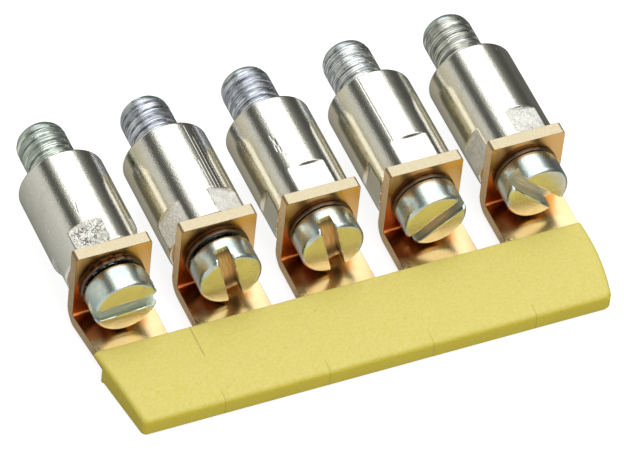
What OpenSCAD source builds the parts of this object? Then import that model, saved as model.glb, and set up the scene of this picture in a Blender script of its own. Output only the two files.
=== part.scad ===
// Earth terminal bar: a five-pole screw-on comb for rail terminals.
// X runs along the bar, Y along the screws towards their tips, Z up along the plates.
// The origin is on the middle screw's axis, in the plane where the sleeves press on the terminals.

/* [Comb bar] */
// Distance between neighbouring screw axes
pitch = 8.2; // [7.6:0.1:12]
// Thickness of the copper strip
bar_t = 1; // [0.7:0.1:1.4]
// Width of each upturned plate and its tab
plate_w = 5.9; // [5.6:0.1:7]
// Height of a plate above the screw axis
plate_top = 3.25; // [2.8:0.05:4]
// Radius of a plate's top corners
plate_corner = 0.25; // [0.1:0.05:0.8]
// Copper left between a plate's hole and the fold
hole_foot = 0.17; // [0.1:0.01:1.2]
// Inner radius of the sharp fold between tab and plate
fold_r = 0.2; // [0.1:0.05:0.6]
// Length of a tab in front of its plate, up to the insulation's lip
tab_reach = 4.1; // [3:0.1:8]
// Depth of the spine that joins the tabs, front to back
spine_d = 3.2; // [2.5:0.1:3.6]
// Depth of the gaps between tabs inside the moulding
root_in = 0.8; // [0.6:0.1:1.2]
// Radius at the roots between two tabs
root_r = 0.6; // [0.2:0.05:1]
// Angle of the sheared left edge of the first tab, in plan
shear_slant = 6; // [0:0.5:7]

/* [Insulation] */
// Depth of the moulding from its lip to its nose
cap_d = 7.1; // [6.9:0.1:10]
// Thickness of the lip that lies on the tabs
lip_t = 0.4; // [0.3:0.05:0.8]
// How far the lip reaches back beyond the lower wall
lip_over = 1.25; // [0.6:0.05:1.6]
// Thickness of the floor under the copper
floor_t = 0.55; // [0.4:0.05:1]
// Fall of the crowned top from its level back to the nose
crown_drop = 0.4; // [0.1:0.05:0.8]
// Depth of the level back part of the top
crown_start = 1.8; // [0.5:0.1:3]
// Radius of the upper edge of the nose
nose_r = 0.45; // [0.2:0.05:0.6]
// Radius of the lower edge of the nose
heel_r = 0.25; // [0.1:0.05:0.4]
// Radius of the moulding's fine edges
fine_r = 0.12; // [0.05:0.01:0.15]
// Overhang of the moulding past the first plate's outer edge
end_over_left = 0; // [0:0.05:1]
// Overhang of the moulding past the last plate's outer edge
end_over_right = 0.1; // [0.1:0.05:1]
// Slant of the left end, in plan
end_slant = 8.8; // [0:0.1:12]
// Radius of the bowed right end, in plan
end_bow = 22; // [20:1:60]
// Depth behind the lip at which the right end is widest
bow_back = 1.6; // [0:0.1:2]
// Radius of the right front corner, in plan
end_r = 0.5; // [0.2:0.1:1.2]
// Radius of the left front corner, in plan
slant_r = 0.4; // [0.1:0.1:1]
// Wall between the copper and each closed end
end_wall = 0.5; // [0.3:0.1:1]
// Clearance between the moulding's pocket and the copper
pocket_clear = 0.05; // [0.02:0.01:0.15]

/* [Sleeves] */
// Outer diameter of a sleeve
sleeve_d = 6.7; // [6.2:0.1:7.4]
// Length of a sleeve from the plate to the terminal
sleeve_l = 9.2; // [6:0.1:14]
// Clearance of the thread in a sleeve's bore, in diameter
bore_clear = 0.45; // [0.3:0.05:0.6]
// Radius of the edges at both ends of a sleeve
sleeve_edge = 0.25; // [0.05:0.05:0.4]
// Length of the crimp flats at the plate end
crimp_l = 2.35; // [1:0.05:3]
// Depth of the crimp flats
crimp_depth = 0.3; // [0.15:0.01:0.4]
// How much narrower than the thread the crimp leaves the bore, in diameter
neck_catch = 0.15; // [0.05:0.01:0.2]
// Wall of the spigot that goes through the plate
spigot_wall = 0.2; // [0.15:0.01:0.3]
// Clearance between the spigot and the plate's hole, in diameter
spigot_clear = 0.06; // [0.04:0.01:0.12]
// How far the peened ring reaches out over the spigot
ring_over = 0.15; // [0.13:0.01:0.35]
// Thickness of the peened ring
ring_t = 0.3; // [0.2:0.05:0.5]
// Chamfer at the peened ring's edge
ring_edge = 0.12; // [0.05:0.01:0.15]
// Turn of each sleeve's flats about its own axis
crimp_turn = [-19, 30, 0, 0, 14];

/* [Screws] */
// Outer diameter of the thread
thread_d = 3.85; // [3.8:0.05:4.1]
// Distance that a thread stands out of its sleeve
thread_out = 5.1; // [3:0.1:8]
// Length of the rounded thread tip
tip_l = 1.1; // [0.4:0.1:1.4]
// Diameter of the flat at the end of the tip
tip_d = 2.3; // [1.5:0.1:3]
// Clearance of the screw's waist in the crimped neck, in diameter
waist_clear = 0.4; // [0.3:0.05:0.6]
// Diameter of the cheese head
head_d = 4.9; // [4.8:0.05:6]
// Height of the cheese head
head_h = 2.1; // [1.6:0.1:3]
// Radius of the head's front edge
head_edge = 0.3; // [0.1:0.05:0.5]
// Width of the driver slot
slot_w = 1.1; // [0.8:0.05:1.4]
// Depth of the driver slot
slot_deep = 1.2; // [0.8:0.1:1.4]
// Gap left between each peened ring and its screw head
head_gap = [0.35, 0.4, 0.1, 0.08, 0.06];
// Turn of each driver slot, from the bar's length towards the plate's top
slot_turn = [4, -76, -76, 36, -45];
// Offset of each driver slot from the screw axis, square to the slot
slot_shift = [-0.12, 0, 0, -0.22, 0];

/* [Hidden] */
$fn = 96;
POLES = 5;

ARC_STEPS = 8;
CUT = 1;
ROOT_FLAT = 0.2;

bore_d = thread_d + bore_clear;
neck_d = thread_d - neck_catch;
waist_d = neck_d - waist_clear;
spigot_d = bore_d + 2 * spigot_wall;
hole_d = spigot_d + spigot_clear;
ring_d = spigot_d + 2 * ring_over;

first_x = -(POLES - 1) / 2 * pitch;
plate_back = -sleeve_l;
plate_front = plate_back - bar_t;
tab_top = -(hole_d / 2 + hole_foot + fold_r);
tab_bottom = tab_top - bar_t;
fold_out = fold_r + bar_t;
lip_y = plate_front - tab_reach;
wall_y = lip_y - lip_over;
nose_y = lip_y - cap_d;
cap_top = tab_top + lip_t;
cap_bottom = tab_bottom - floor_t;
spine_back = wall_y - root_in;
spine_front = spine_back - spine_d;
row_left = first_x - plate_w / 2;
row_right = -first_x + plate_w / 2;
end_left = row_left - end_over_left;
end_right = row_right + end_over_right;
bow_y = lip_y - bow_back;

function pole_x(i) = first_x + (i - 1) * pitch;

// Place of the moulding's slanted left end at depth y.
function slanted_x(y) = end_left + (lip_y - y) * tan(end_slant);

// Place of the moulding's bowed right end at depth y.
function bowed_x(y) = end_right - end_bow + sqrt(end_bow * end_bow - (y - bow_y) * (y - bow_y));

// Points on an arc about c with radius r, from angle a to angle b.
function arc(c, r, a, b) = [for (k = [0 : ARC_STEPS]) let (t = a + (b - a) * k / ARC_STEPS)
    [c[0] + r * cos(t), c[1] + r * sin(t)]];

// Carries an outline drawn in Y and Z along X, from x = from to x = to.
module along_x(from, to) {
    translate([from, 0, 0]) rotate([90, 0, 90]) linear_extrude(to - from) children();
}

// Turns a profile drawn as radius and Y about a screw axis.
module about_y() {
    rotate([-90, 0, 0]) rotate_extrude() children();
}

// ---- Comb bar ---------------------------------------------------------------

// Flat blank of the comb: the spine with its tabs, seen from above.
// The first tab's left edge is sheared, and the spine stops short of both closed ends.
module comb_plan() {
    tab_y = plate_front - fold_r;
    sheared_x = row_left + (tab_y - wall_y) * tan(shear_slant);
    inset = end_wall + pocket_clear;
    difference() {
        polygon([[row_left, tab_y], [min(sheared_x, slanted_x(wall_y) + inset), wall_y],
            [slanted_x(wall_y) + inset, wall_y], [slanted_x(spine_front) + inset, spine_front],
            [bowed_x(spine_front) - inset, spine_front], [bowed_x(wall_y) - inset, wall_y],
            [row_right, wall_y], [row_right, tab_y]]);
        for (i = [1 : POLES - 1]) tab_gap(pole_x(i) + plate_w / 2, pole_x(i + 1) - plate_w / 2, tab_y);
    }
}

// Gap between two tabs, with round roots.
module tab_gap(left, right, top) {
    r = min(root_r, (right - left - ROOT_FLAT) / 2);
    translate([left, spine_back + r]) square([right - left, top - spine_back + CUT]);
    translate([left + r, spine_back]) square([right - left - 2 * r, 2 * r]);
    for (x = [left + r, right - r]) translate([x, spine_back + r]) circle(r);
}

// Quarter bend between tab and plate.
module fold(x) {
    translate([x - plate_w / 2, plate_front - fold_r, tab_top + fold_r]) rotate([0, 90, 0])
        intersection() {
            difference() {
                cylinder(r = fold_out, h = plate_w);
                translate([0, 0, -CUT]) cylinder(r = fold_r, h = plate_w + 2 * CUT);
            }
            translate([0, 0, -CUT]) cube([2 * fold_out, 2 * fold_out, plate_w + 2 * CUT]);
        }
}

// Upturned plate with rounded top corners and the spigot's hole.
module plate(x) {
    foot = tab_top + fold_r;
    half_w = plate_w / 2;
    corner_x = half_w - plate_corner;
    corner_z = plate_top - plate_corner;
    translate([x, plate_back, 0]) rotate([90, 0, 0]) linear_extrude(bar_t) difference() {
        union() {
            translate([-half_w, foot]) square([plate_w, corner_z - foot]);
            translate([-corner_x, foot]) square([2 * corner_x, plate_top - foot]);
            for (s = [-1, 1]) translate([s * corner_x, corner_z]) circle(plate_corner);
        }
        circle(d = hole_d);
    }
}

module comb_bar() {
    color("#c87a3c") union() {
        translate([0, 0, tab_bottom]) linear_extrude(bar_t) comb_plan();
        for (i = [1 : POLES]) {
            fold(pole_x(i));
            plate(pole_x(i));
        }
    }
}

// ---- Insulation -------------------------------------------------------------

// End view of the moulding: thin lip, crowned top, round nose, level floor.
module cap_profile() {
    crown_y = lip_y - crown_start;
    run = cap_d - crown_start;
    crown_r = (run * run + crown_drop * crown_drop) / (2 * crown_drop);
    crown_a = asin((run - nose_r) / crown_r);
    edge_y = crown_y - crown_r * sin(crown_a);
    edge_z = cap_top - crown_r * (1 - cos(crown_a));
    polygon(concat(
        [[lip_y, tab_top]],
        arc([lip_y - fine_r, cap_top - fine_r], fine_r, 0, 90),
        arc([crown_y, cap_top - crown_r], crown_r, 90, 90 + crown_a),
        arc([nose_y + nose_r, edge_z - nose_r], nose_r, 90 + crown_a, 180),
        arc([nose_y + heel_r, cap_bottom + heel_r], heel_r, 180, 270),
        arc([wall_y - fine_r, cap_bottom + fine_r], fine_r, 270, 360),
        [[wall_y, tab_top]]));
}

// The moulding seen from above: slanted left end, bowed right end, round front corners.
module cap_plan() {
    left_c = [slanted_x(nose_y + slant_r) + slant_r / cos(end_slant), nose_y + slant_r];
    bow_c = [end_right - end_bow, bow_y];
    corner_a = asin((nose_y + end_r - bow_y) / (end_bow - end_r));
    right_c = bow_c + (end_bow - end_r) * [cos(corner_a), sin(corner_a)];
    bow = arc(bow_c, end_bow, corner_a, asin((lip_y + CUT - bow_y) / end_bow));
    polygon(concat(
        [[slanted_x(lip_y + CUT), lip_y + CUT]],
        arc(left_c, slant_r, 180 + end_slant, 270),
        arc(right_c, end_r, 270, 360 + corner_a),
        [for (k = [1 : ARC_STEPS]) bow[k]]));
}

// Pocket that takes the spine and the roots of the tabs, open at the back under the lip.
module cap_pocket() {
    front = spine_front - pocket_clear;
    translate([0, 0, tab_bottom - pocket_clear]) linear_extrude(bar_t + pocket_clear)
        polygon([[slanted_x(front) + end_wall, front], [bowed_x(front) - end_wall, front],
            [bowed_x(wall_y + CUT) - end_wall, wall_y + CUT],
            [slanted_x(wall_y + CUT) + end_wall, wall_y + CUT]]);
}

module insulation() {
    color("#dcd06a") difference() {
        intersection() {
            along_x(end_left - CUT, end_right + CUT) cap_profile();
            translate([0, 0, cap_bottom - CUT])
                linear_extrude(cap_top - cap_bottom + 2 * CUT) cap_plan();
        }
        cap_pocket();
    }
}

// ---- Sleeves ----------------------------------------------------------------

// Turned sleeve, necked by the crimp and peened over in front of the plate.
module sleeve_body() {
    r = sleeve_d / 2;
    e = sleeve_edge;
    neck_y = plate_back + crimp_l;
    ring_r = ring_d / 2;
    ring_y = plate_front - ring_t;
    bore_r = bore_d / 2;
    neck_r = neck_d / 2;
    about_y() polygon(concat(
        arc([r - e, -e], e, 90, 0),
        arc([r - e, plate_back + e], e, 0, -90),
        [[spigot_d / 2, plate_back], [spigot_d / 2, plate_front], [ring_r, plate_front],
            [ring_r, ring_y + ring_edge], [ring_r - ring_edge, ring_y],
            [bore_r, ring_y], [bore_r, plate_back], [neck_r, plate_back + crimp_depth],
            [neck_r, neck_y], [bore_r, neck_y + crimp_depth], [bore_r, 0]]));
}

// Four flats pressed into the plate end, a quarter turn apart.
module crimp_flats(turn) {
    flat_r = sleeve_d / 2 - crimp_depth;
    for (k = [0 : 3]) rotate([0, turn + 90 * k, 0])
        translate([-sleeve_d / 2, plate_back, flat_r]) cube([sleeve_d, crimp_l, sleeve_d]);
}

module sleeve(i) {
    color("#c9ccc8") translate([pole_x(i), 0, 0]) difference() {
        sleeve_body();
        crimp_flats(crimp_turn[i - 1]);
    }
}

// ---- Screws -----------------------------------------------------------------

// Captive cheese-head screw, drawn with its head against the peened ring.
// The full thread starts that far from its own frame that it begins level with the sleeve's end.
module screw_body(thread_start) {
    head_back = plate_front - ring_t;
    head_front = head_back - head_h;
    tip_y = thread_out;
    tip_start = tip_y - tip_l;
    r = thread_d / 2;
    fall = r - tip_d / 2;
    about_y() polygon(concat(
        [[0, head_front]],
        arc([head_d / 2 - head_edge, head_front + head_edge], head_edge, -90, 0),
        [[head_d / 2, head_back], [waist_d / 2, head_back],
            [waist_d / 2, thread_start - (r - waist_d / 2)], [r, thread_start]],
        [for (k = [0 : ARC_STEPS]) let (t = 90 * k / ARC_STEPS)
            [r - fall * (1 - cos(t)), tip_start + tip_l * sin(t)]],
        [[0, tip_y]]));
}

// Driver slot across the head, turned about the axis and set off it.
module driver_slot(turn, shift) {
    head_front = plate_front - ring_t - head_h;
    rotate([0, -turn, 0]) translate([-head_d, head_front - CUT, shift - slot_w / 2])
        cube([2 * head_d, slot_deep + CUT, slot_w]);
}

module screw(i) {
    color("#b9c2bd") translate([pole_x(i), -head_gap[i - 1], 0]) difference() {
        screw_body(head_gap[i - 1]);
        driver_slot(slot_turn[i - 1], slot_shift[i - 1]);
    }
}

comb_bar();
insulation();
for (i = [1 : POLES]) {
    sleeve(i);
    screw(i);
}
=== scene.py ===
"""Looks of an earth terminal bar: a screw-on comb that joins neighbouring rail terminals.

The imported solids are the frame. Sleeves, screws and the moulding are worked out again as finer surfaces, the comb
gets its sheared edges broken, and every surface gets a finish made from nodes. Sizes are in millimetres in the
classes below, and in metres in the meshes.
"""

import logging
import math
from dataclasses import dataclass, field
from enum import Enum
from functools import reduce
from typing import Callable, Optional, Sequence, Union

import bmesh
import bpy
import numpy as np
from mathutils import Matrix, Vector


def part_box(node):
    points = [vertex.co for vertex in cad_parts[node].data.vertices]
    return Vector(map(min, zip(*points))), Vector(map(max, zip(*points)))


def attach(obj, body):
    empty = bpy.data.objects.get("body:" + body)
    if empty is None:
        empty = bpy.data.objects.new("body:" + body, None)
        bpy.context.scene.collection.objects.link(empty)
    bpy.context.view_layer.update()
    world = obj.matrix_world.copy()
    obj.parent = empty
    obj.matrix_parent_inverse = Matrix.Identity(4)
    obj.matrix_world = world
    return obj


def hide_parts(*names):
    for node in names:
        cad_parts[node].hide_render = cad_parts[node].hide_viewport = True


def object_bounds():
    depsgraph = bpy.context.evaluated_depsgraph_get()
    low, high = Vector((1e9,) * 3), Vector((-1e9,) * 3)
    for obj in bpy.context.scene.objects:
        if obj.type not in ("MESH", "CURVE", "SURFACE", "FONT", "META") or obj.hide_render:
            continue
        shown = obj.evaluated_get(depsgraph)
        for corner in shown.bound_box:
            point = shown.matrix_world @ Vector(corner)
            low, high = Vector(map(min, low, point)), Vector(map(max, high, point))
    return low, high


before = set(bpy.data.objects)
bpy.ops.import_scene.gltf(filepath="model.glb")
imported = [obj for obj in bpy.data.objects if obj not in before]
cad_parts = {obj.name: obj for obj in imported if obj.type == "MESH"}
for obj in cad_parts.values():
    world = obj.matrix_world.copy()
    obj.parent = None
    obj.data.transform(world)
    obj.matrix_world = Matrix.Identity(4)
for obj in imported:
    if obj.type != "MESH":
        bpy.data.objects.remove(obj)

CAD_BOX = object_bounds()
MM = 0.001
POLE_PITCH = 8.2
MERGE_MM = 2e-4
SLIVER_MM = 1e-4
LOG = logging.getLogger("terminal_bar")

Colour = tuple[float, float, float, float]
Socket = bpy.types.NodeSocket
Value = Union[Socket, float, Colour]
WHITE: Colour = (1, 1, 1, 1)


# ---- Meshes -----------------------------------------------------------------


def grid_quads(rows: int, cols: int, wrap_rows: bool = False, wrap_cols: bool = False) -> np.ndarray:
    """Corner numbers of the quads of a grid whose points are numbered row by row.

    Args:
        rows: number of rows of points.
        cols: number of points in a row.
        wrap_rows: the last row joins the first.
        wrap_cols: the last point of a row joins its first.

    Returns:
        An array of four corner numbers a quad.
    """
    i = np.arange(rows if wrap_rows else rows - 1)[:, None]
    j = np.arange(cols if wrap_cols else cols - 1)[None, :]
    i2, j2 = (i + 1) % rows, (j + 1) % cols
    corners = [i * cols + j, i * cols + j2, i2 * cols + j2, i2 * cols + j]
    return np.stack([np.broadcast_to(c, (i.shape[0], j.shape[1])) for c in corners], -1).reshape(-1, 4)


@dataclass
class Shell:
    """Patches of a surface that become one closed mesh.

    Args:
        name: name of the object that the patches make.
    """

    name: str
    points: list[np.ndarray] = field(default_factory=list)
    quads: list[np.ndarray] = field(default_factory=list)
    masks: dict[str, list[np.ndarray]] = field(default_factory=dict)

    def add(self, grid: np.ndarray, wrap_rows: bool = False, wrap_cols: bool = False,
            **masks: np.ndarray) -> None:
        """Adds a grid of points, rows x columns x 3, in millimetres.

        Args:
            grid: the points.
            wrap_rows: the last row joins the first.
            wrap_cols: the last column joins the first.
            masks: named values from 0 to 1, one a point.
        """
        start = sum(len(p) for p in self.points)
        self.points.append(grid.reshape(-1, 3))
        self.quads.append(grid_quads(*grid.shape[:2], wrap_rows, wrap_cols) + start)
        for key in sorted({*self.masks, *masks}):
            values = self.masks.setdefault(key, [np.zeros(start)] if start else [])
            values.append(np.broadcast_to(masks.get(key, np.zeros(1)), grid.shape[:2]).reshape(-1).astype(float))

    def build(self, sharp_deg: float) -> bpy.types.Object:
        """Joins the patches, closes seams and poles, turns faces outwards and shades the surface smoothly.

        Args:
            sharp_deg: an edge between faces that meet at more than this angle stays sharp.

        Returns:
            The object, linked to the scene.
        """
        mesh = bpy.data.meshes.new(self.name)
        mesh.from_pydata(np.concatenate(self.points) * MM, [], np.concatenate(self.quads).tolist())
        for key, values in self.masks.items():
            layer = mesh.attributes.new(key, "FLOAT", "POINT")
            layer.data.foreach_set("value", np.concatenate(values).astype(np.float32))
        work = bmesh.new()
        work.from_mesh(mesh)
        bmesh.ops.remove_doubles(work, verts=work.verts, dist=MERGE_MM * MM)
        bmesh.ops.dissolve_degenerate(work, edges=work.edges, dist=SLIVER_MM * MM)
        bmesh.ops.recalc_face_normals(work, faces=work.faces)
        if work.calc_volume(signed=True) < 0:
            bmesh.ops.reverse_faces(work, faces=work.faces)
        work.to_mesh(mesh)
        work.free()
        shade(mesh, sharp_deg)
        piece = bpy.data.objects.new(self.name, mesh)
        bpy.context.scene.collection.objects.link(piece)
        return piece


def shade(mesh: bpy.types.Mesh, sharp_deg: float) -> None:
    """Shades a mesh smoothly, but for edges sharper than an angle in degrees."""
    mesh.polygons.foreach_set("use_smooth", np.ones(len(mesh.polygons), bool))
    mesh.set_sharp_from_angle(angle=math.radians(sharp_deg))


def arc(centre: Sequence[float], radius: float, start: float, end: float, steps: int) -> np.ndarray:
    """Points on an arc: centre + radius times (cos, sin) of angles from start to end, in degrees."""
    turn = np.radians(np.linspace(start, end, steps + 1))
    return np.stack([centre[0] + radius * np.cos(turn), centre[1] + radius * np.sin(turn)], -1)


def waves(angle: np.ndarray, seed: int, terms: int, top: int) -> np.ndarray:
    """Uneven closed outline: a sum of sines of whole numbers of waves round the angle.

    Args:
        angle: angles in radians.
        seed: seed of the numbers and phases of the waves.
        terms: how many sines are added.
        top: the number of waves stays below it.

    Returns:
        A value from about -1 to 1 at each angle.
    """
    rng = np.random.default_rng(seed)
    number = rng.integers(2, top, terms)
    phase = rng.uniform(0, 2 * np.pi, terms)
    return np.sin(angle[..., None] * number + phase).sum(-1) / terms ** 0.5 / 1.4


def smooth_step(value: np.ndarray, low: float, high: float) -> np.ndarray:
    """Rises smoothly from 0 at low to 1 at high, as 3t^2 - 2t^3."""
    t = np.clip((value - low) / (high - low), 0, 1)
    return t * t * (3 - 2 * t)


# ---- Node graphs ------------------------------------------------------------


class Graph:
    """Wires the nodes of one material, world or group."""

    def __init__(self, tree: bpy.types.NodeTree) -> None:
        """Empties the tree and keeps it."""
        self.tree = tree
        tree.nodes.clear()

    def feed(self, socket: Socket, value: Value) -> None:
        """Links a socket to an input, or writes a plain value there.

        Args:
            socket: the input.
            value: what it gets.
        """
        if isinstance(value, Socket):
            self.tree.links.new(value, socket)
        else:
            socket.default_value = value

    def node(self, kind: str, inputs: Optional[dict] = None, **settings: object) -> bpy.types.Node:
        """Adds a node.

        Args:
            kind: Blender's name of the node's type.
            inputs: socket name or number to a value, or to a socket that is linked to it.
            settings: the node's own properties.

        Returns:
            The node.
        """
        made = self.tree.nodes.new(kind)
        for key, value in settings.items():
            setattr(made, key, value)
        for key, value in (inputs or {}).items():
            self.feed(made.inputs[key], value)
        return made

    def math(self, operation: str, a: Value, b: Value = 0.0) -> Socket:
        """Result of a Math node on two numbers or sockets."""
        return self.node("ShaderNodeMath", {0: a, 1: b}, operation=operation).outputs[0]

    def times(self, *values: Value) -> Socket:
        """Product of numbers and sockets."""
        return reduce(lambda a, b: self.math("MULTIPLY", a, b), values)

    def plus(self, *values: Value) -> Socket:
        """Sum of numbers and sockets."""
        return reduce(lambda a, b: self.math("ADD", a, b), values)

    def minus(self, a: Value, b: Value) -> Socket:
        """The first number or socket less the second."""
        return self.math("SUBTRACT", a, b)

    def weigh(self, *parts: tuple[Value, float]) -> Socket:
        """Sum of values, each times its weight."""
        return self.plus(*(self.times(value, weight) for value, weight in parts))

    def rise(self, value: Value, low: float, high: float) -> Socket:
        """Goes smoothly from 0 at low to 1 at high."""
        return self.node("ShaderNodeMapRange", {"Value": value, "From Min": low, "From Max": high},
                         interpolation_type="SMOOTHSTEP").outputs[0]

    def span(self, value: Value, low: float, high: float) -> Socket:
        """Carries a value from 0 to 1 onto low to high."""
        return self.node("ShaderNodeMapRange", {"Value": value, "To Min": low, "To Max": high}).outputs[0]

    def from_nearest(self, value: Value, step: float) -> Socket:
        """What a value is past the nearest multiple of a step, from -step / 2 to step / 2."""
        return self.minus(self.math("FLOORED_MODULO", self.plus(value, step / 2), step), step / 2)

    def mix(self, factor: Value, a: Value, b: Value, blend: str = "MIX") -> Socket:
        """Mixes two colours.

        Args:
            factor: share of the second colour.
            a: the first colour.
            b: the second colour.
            blend: Blender's name of the way that they mix.

        Returns:
            The mixed colour.
        """
        made = self.node("ShaderNodeMix", {0: factor}, data_type="RGBA", blend_type=blend)
        for number, colour in ((6, a), (7, b)):
            self.feed(made.inputs[number], colour)
        return made.outputs[2]

    def layers(self, tint: Value, *coats: tuple[Value, float, Value]) -> Socket:
        """Lays colours over a first one.

        Args:
            tint: the first colour.
            coats: for each colour its mask, the mask's strength, and the colour itself.

        Returns:
            The socket of the last mix.
        """
        for mask, strength, colour in coats:
            tint = self.mix(self.times(mask, strength), tint, colour)
        return tint

    def noise(self, vector: Socket, scale: float, detail: float = 2.0, rough: float = 0.5) -> Socket:
        """Cloudy value of about 0.3 to 0.7, scale features a millimetre."""
        return self.node("ShaderNodeTexNoise", {"Vector": vector, "Scale": scale, "Detail": detail,
                                                "Roughness": rough}).outputs["Fac"]

    def streaks(self, across: Value, along: Value) -> Socket:
        """Noise drawn out into fine lines by two coordinates, fast across and slow along."""
        return self.noise(self.node("ShaderNodeCombineXYZ", {0: across, 1: along}).outputs[0], 1.0, 2.0, 0.6)

    def mask(self, name: str) -> Socket:
        """Value of a named mask of the piece."""
        return self.node("ShaderNodeAttribute", attribute_name=name).outputs["Fac"]

    def axes(self, vector: Socket) -> Sequence[Socket]:
        """The x, y and z of a vector."""
        return self.node("ShaderNodeSeparateXYZ", {0: vector}).outputs

    def normal(self) -> Sequence[Socket]:
        """The x, y and z of the way that the surface faces."""
        return self.axes(self.node("ShaderNodeNewGeometry").outputs["Normal"])

    def millimetres(self, stretch: Sequence[float] = (1, 1, 1)) -> Socket:
        """The piece's own coordinates in millimetres, each axis times its stretch."""
        place = self.node("ShaderNodeTexCoord").outputs["Object"]
        return self.node("ShaderNodeMapping", {"Vector": place, "Scale": [s / MM for s in stretch]}).outputs[0]


def linear(red: float, green: float, blue: float) -> Colour:
    """Screen colour from 0 to 255 as the linear colour that a shader takes."""
    values = [c / 255 for c in (red, green, blue)]
    return tuple(c / 12.92 if c <= 0.04045 else ((c + 0.055) / 1.055) ** 2.4 for c in values) + (1.0,)


def new_group(name: str, sizes: dict[str, float],
              outputs: Sequence[str]) -> tuple[Graph, bpy.types.Node, bpy.types.Node]:
    """Starts a shader node group that works on a Vector.

    Args:
        name: the group's name.
        sizes: names of its number inputs, with their defaults.
        outputs: names of its values.

    Returns:
        The group's graph, its input node and its output node.
    """
    tree = bpy.data.node_groups.new(name, "ShaderNodeTree")
    graph = Graph(tree)
    tree.interface.new_socket("Vector", in_out="INPUT", socket_type="NodeSocketVector")
    for label, default in sizes.items():
        tree.interface.new_socket(label, in_out="INPUT", socket_type="NodeSocketFloat").default_value = default
    for label in outputs:
        tree.interface.new_socket(label, in_out="OUTPUT", socket_type="NodeSocketFloat")
    return graph, graph.node("NodeGroupInput"), graph.node("NodeGroupOutput")


def speckle_group() -> bpy.types.NodeTree:
    """Specks: small cells of which a share stands out, softened at their rims.

    Returns:
        A group with Vector, Size (specks a millimetre) and Share, that gives Mask.
    """
    graph, entry, leave = new_group("Speckle", {"Size": 8.0, "Share": 0.2}, ["Mask"])
    cells = graph.node("ShaderNodeTexVoronoi", {"Vector": entry.outputs["Vector"], "Scale": entry.outputs["Size"]})
    chosen = graph.node("ShaderNodeSeparateColor", {0: cells.outputs["Color"]}).outputs[0]
    picked = graph.math("LESS_THAN", chosen, entry.outputs["Share"])
    near = graph.rise(cells.outputs["Distance"], 0.42, 0.18)
    graph.feed(leave.inputs["Mask"], graph.times(picked, near))
    return graph.tree


def grain_group() -> bpy.types.NodeTree:
    """Grain: fine noise, and broad, slow noise.

    Returns:
        A group with Vector, Fine and Broad (features a millimetre), that gives Fine and Broad values.
    """
    graph, entry, leave = new_group("Grain", {"Fine": 12.0, "Broad": 0.5}, ["Fine", "Broad"])
    for label, detail in (("Fine", 3.0), ("Broad", 2.0)):
        made = graph.noise(entry.outputs["Vector"], 1.0, detail)
        graph.feed(made.node.inputs["Scale"], entry.outputs[label])
        graph.feed(leave.inputs[label], graph.rise(made, 0.3, 0.7))
    return graph.tree


# ---- Finishes ---------------------------------------------------------------


class Finish:
    """A finish: makes one material from the shared groups."""

    groups: dict[str, bpy.types.NodeTree] = {}

    @classmethod
    def group(cls, graph: Graph, maker: Callable[[], bpy.types.NodeTree], **inputs: Value) -> Sequence[Socket]:
        """Places a shared group in a material, and builds it the first time.

        Args:
            graph: the material's graph.
            maker: function that builds the group.
            inputs: the group's inputs by name.

        Returns:
            The group's outputs.
        """
        if maker.__name__ not in cls.groups:
            cls.groups[maker.__name__] = maker()
        return graph.node("ShaderNodeGroup", inputs, node_tree=cls.groups[maker.__name__]).outputs

    @classmethod
    def grain(cls, graph: Graph, place: Socket, fine: float, broad: float) -> Sequence[Socket]:
        """Fine and broad noise of the Grain group, in features a millimetre."""
        return cls.group(graph, grain_group, Vector=place, Fine=fine, Broad=broad)

    @classmethod
    def specks(cls, graph: Graph, place: Socket, size: float, share: float) -> Socket:
        """Mask of the Speckle group: specks a millimetre, of which a share shows."""
        return cls.group(graph, speckle_group, Vector=place, Size=size, Share=share)[0]

    @staticmethod
    def start(name: str) -> tuple[bpy.types.Material, Graph]:
        """Starts a material.

        Args:
            name: its name.

        Returns:
            The material and its empty graph.
        """
        material = bpy.data.materials.new(name)
        material.use_nodes = True
        return material, Graph(material.node_tree)

    @staticmethod
    def close(graph: Graph, height: Socket, depth_mm: float, sockets: dict[str, Socket], **plain: float) -> None:
        """Ends a graph with a bump and a Principled shader.

        Args:
            graph: the material's graph.
            height: socket with the bump's height from 0 to 1.
            depth_mm: what a height of 1 is worth.
            sockets: inputs of the shader that vary over the surface.
            plain: inputs that are the same all over, with _ for a space.
        """
        bump = graph.node("ShaderNodeBump", {"Height": height, "Distance": depth_mm * MM, "Strength": 1.0})
        values = {key.replace("_", " "): value for key, value in plain.items()}
        shader = graph.node("ShaderNodeBsdfPrincipled", {**values, **sockets, "Normal": bump.outputs[0]})
        graph.node("ShaderNodeOutputMaterial", {"Surface": shader.outputs[0]})


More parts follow.
